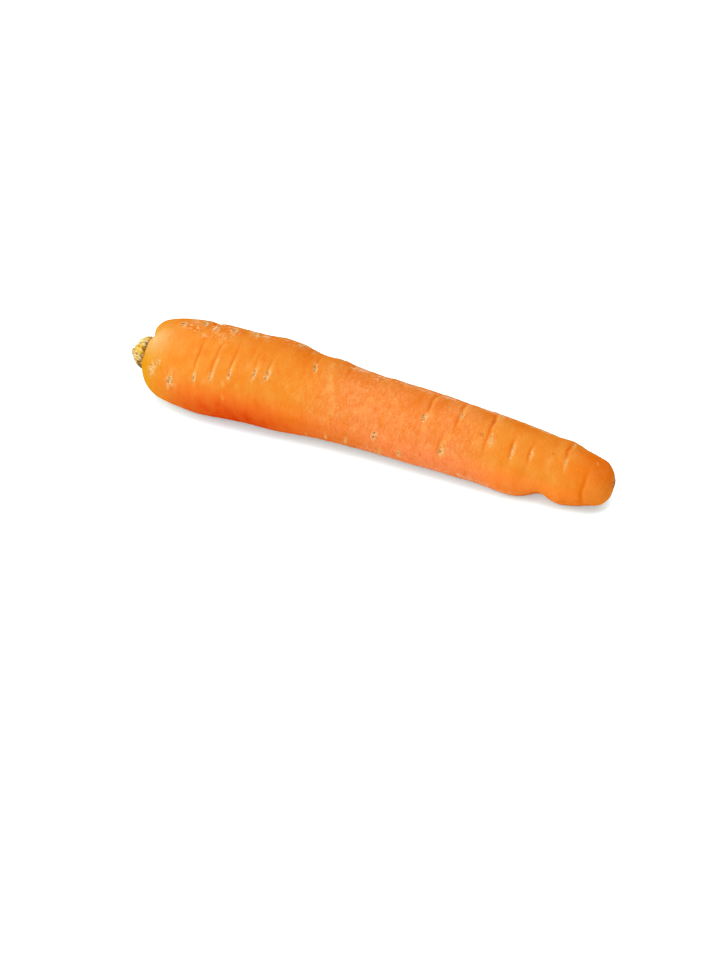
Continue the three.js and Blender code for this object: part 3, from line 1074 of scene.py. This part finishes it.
ORANGE = (0.510, 0.150, 0.013)
PALE_ORANGE = (0.515, 0.170, 0.020)
GOLD = (0.440, 0.186, 0.001)
WAX_AND_HIGHLIGHT = (0.505, 0.295, 0.102)
DEEP_SHADE_ORANGE = (0.450, 0.018, 0.0)
LOW_LIT_ORANGE = (0.780, 0.168, 0.018)
LOW_LIT_PINK = (0.680, 0.180, 0.068)
RED_ORANGE = (0.480, 0.092, 0.001)
BLUSH = (0.530, 0.150, 0.041)
TAN_AND_SHADE = (0.505, 0.104, 0.005)
PALE = (0.560, 0.265, 0.065)
CREAM = (0.580, 0.340, 0.130)
RUBBED_AND_SHEEN = (0.570, 0.340, 0.200)
SCUFF_CREAM = (0.600, 0.380, 0.190)
SPECK_BROWN = (0.270, 0.085, 0.012)
PIT_BROWN = (0.230, 0.070, 0.012)
SCAR_CREAM = (0.630, 0.400, 0.165)
SCAR_TAN = (0.430, 0.150, 0.030)
SCAR_BROWN = (0.190, 0.046, 0.005)


def skin_finish():
    """Orange skin: gold by the crown, pale and waxy with a painted highlight on its shoulder, pink in the
    middle, lighter with painted light on the low side, tan at the tip with painted shade on its upper
    side, and darker and redder with painted shade below, then mottle, creases with painted shade and
    light, pale smears with painted highlights, rubs with painted sheen, scuffs, scars, pores and the
    tip's pit, in that order."""
    f = Finish("carrot_skin")
    blots = f.noise(7, 3.0)
    clouds = f.noise(3.2, 3.0, (1, 2.2, 2.2))
    mottle = f.noise(1.0, 4.0, (1, 2.2, 2.2), 0.62)
    speckle = f.noise(0.55, 2.0, (1, 1.5, 1.5))
    flecks = f.noise(0.8, 3.0, (1, 2.0, 2.0), 0.6)
    streaks = f.noise(0.9, 3.0, (1, 6, 6), 0.6)
    rough_skin = f.field("rough_skin")

    f.colour = f.mix(f.ease(blots, 0.35, 0.65), ORANGE, PALE_ORANGE)
    # painted light on the low side: a lighter orange
    f.coat(LOW_LIT_ORANGE, f.field("lit_low_side"), 0.5)
    f.coat(BLUSH, f.field("blush"), f.ease(clouds, 0.25, 0.6, 0.6, 1.0))
    # more painted light on the low side where blushed, and a lighter pink in the middle of the low side
    f.coat(LOW_LIT_ORANGE, f.field("lit_low_side"), f.field("blush"), 0.28)
    f.coat(LOW_LIT_PINK, f.field("lit_low_pink"), 0.6)
    f.coat(GOLD, f.field("gold"), f.ease(clouds, 0.2, 0.6, 0.75, 1.0))
    # the tip's own tan, and painted shade on its upper side
    f.coat(TAN_AND_SHADE, f.field("tan"))
    # pale waxy skin with a painted highlight on the crown's shoulder
    f.coat(WAX_AND_HIGHLIGHT, f.field("wax_and_highlight"), f.ease(clouds, 0.2, 0.6, 0.7, 1.0))

    f.coat(RED_ORANGE, f.ease(clouds, 0.48, 0.25), 0.36)
    f.coat(PALE, f.ease(clouds, 0.52, 0.75), 0.12)
    f.coat(RED_ORANGE, f.ease(streaks, 0.48, 0.25), 0.28)
    f.coat(RED_ORANGE, f.ease(mottle, 0.50, 0.30), rough_skin, 0.48)
    f.coat(CREAM, f.ease(mottle, 0.50, 0.72), rough_skin, 0.24)
    grainy = f.sum(f.times(rough_skin, 0.75), 0.22)
    f.coat(RED_ORANGE, f.ease(speckle, 0.52, 0.30), grainy, 0.42)
    f.coat(PALE, f.ease(speckle, 0.52, 0.72), grainy, 0.3)
    # painted shade: darker and redder under the crown half and along the underside
    deep_shade = f.times(f.field("deep_shade"), f.ease(clouds, 0.2, 0.7, 1.0, 0.82))
    f.coat(DEEP_SHADE_ORANGE, deep_shade)
    f.coat(RED_ORANGE, deep_shade, f.ease(flecks, 0.55, 0.75), 0.3)

    # painted shade beside creases and steps and along the upper edge, with the skin's darker tone
    # elsewhere
    f.coat(RED_ORANGE, f.field("shade"), f.ease(clouds, 0.3, 0.6, 0.7, 1.1))
    # painted shade in the creases' floors, and painted light on their lips
    f.coat(RED_ORANGE, f.field("crease"), f.ease(mottle, 0.3, 0.55, 0.5, 0.9))
    f.coat(PALE, f.field("lit_lip"), 0.2)
    # painted highlights beside the creases and on the upper side, with pale smears and spots
    smeared_and_lit = f.times(f.field("smear_and_highlight"), f.ease(speckle, 0.3, 0.6, 0.5, 1.0))
    f.coat(PALE, smeared_and_lit, 0.75)
    scuff = f.field("scuff")
    f.coat(PALE, f.ease(flecks, 0.64, 0.74), f.sum(scuff, 0.3))

    # rubbed dry skin, and painted sheen along the upper edge and the low side
    worn = f.sum(f.field("rub_and_sheen"), f.stray(mottle, 1.4))
    rub_and_sheen = f.times(f.ease(worn, 0.35, 0.95), f.ease(speckle, 0.35, 0.55, 0.55, 1.0), 0.85)
    f.coat(RUBBED_AND_SHEEN, rub_and_sheen)
    f.coat(SCUFF_CREAM, scuff, f.ease(flecks, 0.50, 0.58), 0.9)
    f.coat(RED_ORANGE, scuff, f.ease(flecks, 0.49, 0.42), 0.75)
    f.coat(SPECK_BROWN, scuff, f.ease(flecks, 0.42, 0.36), 0.9)

    scar = f.scar_marks()
    f.coat(PALE, scar["halo"], 0.16)
    f.coat(SCAR_TAN, scar["inside"], 0.45)
    f.coat(SCAR_CREAM, scar["cork"])
    f.coat(SCAR_BROWN, scar["slit"])
    pore = f.field("pore")
    f.coat(SCAR_BROWN, f.ease(pore, 1.5, 1.1), f.ease(pore, 0.4, 0.8), 0.42)
    crumbs = f.noise(0.5, 3.0)
    pit = f.sum(f.field("tip_pit"), f.stray(crumbs, 2.4))
    f.coat(SCAR_TAN, f.ease(pit, 1.9, 1.2), 0.4)
    f.coat(PIT_BROWN, f.ease(pit, 1.2, 0.8), 0.85)
    f.coat(SCAR_CREAM, f.ease(pit, 1.4, 1.0), f.ease(crumbs, 0.5, 0.6), 0.6)

    f.set("Base Color", f.colour)
    worn_away = f.times(f.sum(rub_and_sheen, scar["cork"]), 0.2)
    f.set("Roughness", f.sum(f.ease(mottle, 0.25, 0.75, 0.42, 0.52), worn_away))
    f.set("Specular IOR Level", 0.0)
    f.set("Subsurface Weight", 0.12)
    f.set("Subsurface Radius", (1.0, 0.3, 0.08))
    f.set("Subsurface Scale", 2.5 * MM)
    normal = f.bump(streaks, 0.06, 0.5)
    normal = f.bump(f.times(mottle, rough_skin), 0.16, 0.6, normal)
    normal = f.bump(speckle, 0.03, 0.5, normal)
    normal = f.bump(f.times(scuff, flecks), 0.3, 0.7, normal)
    normal = f.bump(f.sum(f.times(scar["cork"], speckle), f.times(scar["slit"], -0.6)), 0.35, 0.7, normal)
    f.set("Normal", normal)
    return f.material


STALK_YELLOW = (0.51, 0.265, 0.005)
STALK_CREAM = (0.57, 0.44, 0.16)
STALK_TAN = (0.42, 0.19, 0.035)
STALK_OLIVE = (0.13, 0.070, 0.010)
CUT_TAN = (0.44, 0.28, 0.11)
CUT_ORANGE = (0.40, 0.16, 0.03)
DRY_BROWN = (0.11, 0.036, 0.005)
SCALE_OLIVE = (0.30, 0.22, 0.06)


def stalk_finish():
    """Leaf stalks: yellow, cream or tan, with cream threads that are partly painted highlights on the
    ridges, olive threads and blots that are partly painted shade between the stalks, brown feet and rims,
    tan cuts, and brown low down on the stalks of one side."""
    f = Finish("leaf_stalks")
    blots = f.noise(1.1, 3.0, (1.6, 1, 1))
    threads = f.noise(0.45, 2.0, (5, 1, 1))
    height = f.field("height")
    cut = f.field("cut")
    tone = f.sum(f.field("tone"), f.stray(blots, 0.5))
    f.colour = f.mix(f.ease(tone, 0.42, 0.56), STALK_YELLOW, STALK_CREAM)
    f.coat(STALK_TAN, f.ease(tone, 0.78, 0.88))
    # cream threads are partly painted highlights on the ridges; olive threads and blots are partly
    # painted shade between the stalks
    f.coat(STALK_CREAM, f.ease(threads, 0.52, 0.64), 0.65)
    f.coat(STALK_OLIVE, f.ease(threads, 0.46, 0.38), 0.85)
    f.coat(STALK_OLIVE, f.ease(blots, 0.42, 0.34), 0.8)
    foot = f.sum(height, f.stray(blots, 1.3))
    f.coat(DRY_BROWN, f.ease(foot, 0.34, 0.14), 0.85)
    face = f.mix(f.ease(f.noise(0.9, 3.0), 0.35, 0.65), CUT_TAN, CUT_ORANGE)
    face = f.mix(f.ease(f.noise(0.5, 2.0), 0.52, 0.66), face, STALK_CREAM)
    f.coat(face, f.ease(cut, 0.03, 0.14))
    rim = f.times(f.ease(height, 0.93, 0.99), f.ease(cut, 0.3, 0.1))
    f.coat(DRY_BROWN, rim, f.ease(f.noise(0.8, 2.0), 0.42, 0.58, 0.1, 0.8))
    # brown low down on the stalks of one side
    low_brown = f.times(f.field("low_brown"), f.ease(blots, 0.75, 0.5), f.ease(height, 0.7, 0.45))
    f.coat(DRY_BROWN, low_brown)
    f.set("Base Color", f.colour)
    f.set("Roughness", 0.6)
    f.set("Specular IOR Level", 0.2)
    f.set("Subsurface Weight", 0.1)
    f.set("Subsurface Radius", (1.0, 0.7, 0.25))
    f.set("Subsurface Scale", 1.0 * MM)
    f.set("Normal", f.bump(threads, 0.12, 0.6, f.bump(blots, 0.25, 0.6)))
    return f.material


def dry_finish(name, grains, start, tint, roughness, depth):
    """Dry brown, with grains of a tint where their noise is past the start."""
    f = Finish(name)
    grains = f.noise(*grains)
    f.set("Base Color", f.mix(f.ease(grains, start, 0.65), DRY_BROWN, tint))
    f.set("Roughness", roughness)
    f.set("Normal", f.bump(grains, depth, 0.6))
    return f.material


def heart_finish():
    """The heart shows only in the gaps, with orange crumbs."""
    return dry_finish("stub_heart", (0.7, 3.0), 0.45, CUT_ORANGE, 0.8, 0.3)


def scale_finish():
    """Dry scales, with olive threads along their length."""
    return dry_finish("dry_scales", (0.5, 2.0, (5, 1, 1)), 0.4, SCALE_OLIVE, 0.75, 0.12)


# ---- stage


def look_at(thing, place, aim):
    """Places a camera or light and turns its -Z axis to the aim, with +Y up."""
    back = np.array(place, float) - np.array(aim, float)
    back /= np.linalg.norm(back)
    right = np.cross([0, 0, 1], back)
    right /= np.linalg.norm(right)
    up = np.cross(back, right)
    matrix = np.eye(4)
    matrix[:3, 0], matrix[:3, 1], matrix[:3, 2], matrix[:3, 3] = right, up, back, place
    thing.matrix_world = matrix.T.tolist()


def towards(azimuth, elevation):
    """Unit vector to the side that faces an azimuth, from the front (-Y) to +X, and elevation."""
    a, e = math.radians(azimuth), math.radians(elevation)
    return np.array([math.sin(a) * math.cos(e), -math.cos(a) * math.cos(e), math.sin(e)])


VIEW = towards(26.2, 33)
VIEW_DISTANCE = 0.828  # metres, as the aim is
VIEW_AIM = np.array([0.0012, -0.0065, -0.0098])
LENS = 85
SENSOR = 36


def make_camera():
    """The camera, looking at the aim from its distance."""
    data = bpy.data.cameras.new("camera")
    data.lens = LENS
    data.sensor_width = SENSOR
    camera = scene_object("camera", data)
    look_at(camera, VIEW_AIM + VIEW_DISTANCE * VIEW, VIEW_AIM)
    bpy.context.scene.camera = camera


FLOOR_HALF = 3.0  # metres
FLOOR_GLOW = 0.3  # the floor shines a little near the root, which keeps shadows faint
FLOOR_REACH = 600  # millimetres from the root, over which the floor's cone falls to 0
FLOOR_TURN = (0.65, 0.35)  # heights of the cone between which the floor turns from near to far
PAST_TIP = (88, 102)  # millimetres along; past the tip the floor turns part of the way too, which lightens and whitens the root's shadow there
PAST_TIP_SHARE = 0.4
NEAR_FLOOR = (0.75, 0.915, 0.95)  # cool, against the orange that the root throws on it
FAR_FLOOR = (0.95, 0.95, 0.95)
NEAR_GLOW = (0.66, 1.0, 1.06)
FAR_GLOW = (1.0, 1.0, 1.0)


def make_floor():
    """A square floor that is cool and dim near the root, and white and bright far from it."""
    mesh = bpy.data.meshes.new("floor")
    half = FLOOR_HALF
    corners = [(-half, -half, 0), (half, -half, 0), (half, half, 0), (-half, half, 0)]
    mesh.from_pydata(corners, [], [(0, 1, 2, 3)])
    floor = scene_object("floor", mesh)
    f = Finish("floor")
    cone = f.add("ShaderNodeTexGradient", gradient_type="SPHERICAL")
    f.feed(cone.inputs["Vector"], f.vector("SCALE", f.place, 1 / FLOOR_REACH))
    apart = f.add("ShaderNodeSeparateXYZ")
    f.feed(apart.inputs[0], f.place)
    past_tip = f.ease(apart.outputs["X"], *PAST_TIP, 0, PAST_TIP_SHARE)
    far = f.math("MAXIMUM", f.ease(cone.outputs["Fac"], *FLOOR_TURN), past_tip)
    f.set("Base Color", f.mix(far, NEAR_FLOOR, FAR_FLOOR))
    f.set("Roughness", 0.9)
    f.set("Specular IOR Level", 0.0)
    f.set("Emission Color", f.mix(far, NEAR_GLOW, FAR_GLOW))
    f.set("Emission Strength", f.ease(far, 0, 1, FLOOR_GLOW, 1.0))
    mesh.materials.append(f.material)


LIGHT_DISTANCE = 2.2
LIGHT_AIM = (0, 0, 0.01)
FILL = 0.525  # strength of the light that comes from all round

# Softboxes: [name, azimuth, elevation, width, watts]
SOFTBOXES = [
    ["overhead", -5, 76, 1.6, 37],
    ["front", -20, 40, 1.4, 14],
    ["left", -78, 22, 1.4, 20],
    ["low", 15, 10, 1.4, 16],
    ["back", 170, 48, 1.4, 9],
]


def softbox(name, azimuth, elevation, size, watts):
    """A round area light that faces the root."""
    data = bpy.data.lights.new(name, "AREA")
    data.shape = "DISK"
    data.size = size
    data.energy = watts
    look_at(scene_object(name, data), LIGHT_DISTANCE * towards(azimuth, elevation), LIGHT_AIM)


def make_lights():
    """The softboxes, and a world that fills in from all round and is plain white to the camera."""
    world = bpy.data.worlds.new("studio")
    world.use_nodes = True
    tree = world.node_tree
    backdrop = tree.nodes["Background"]
    backdrop.inputs["Color"].default_value = (1, 1, 1, 1)
    backdrop.inputs["Strength"].default_value = FILL
    seen = tree.nodes.new("ShaderNodeLightPath").outputs["Is Camera Ray"]
    white = tree.nodes.new("ShaderNodeMapRange")
    white.inputs["To Min"].default_value = FILL
    white.inputs["To Max"].default_value = 1.0
    tree.links.new(seen, white.inputs["Value"])
    tree.links.new(white.outputs[0], backdrop.inputs["Strength"])
    bpy.context.scene.world = world
    for box in SOFTBOXES:
        softbox(*box)


make_camera()
make_floor()
make_lights()
bpy.context.scene.view_settings.view_transform = "Standard"

points, along, angle = skin_grid()
shift = row_shift(points)
make_skin(points, along, angle, shift)
make_stub(shift)
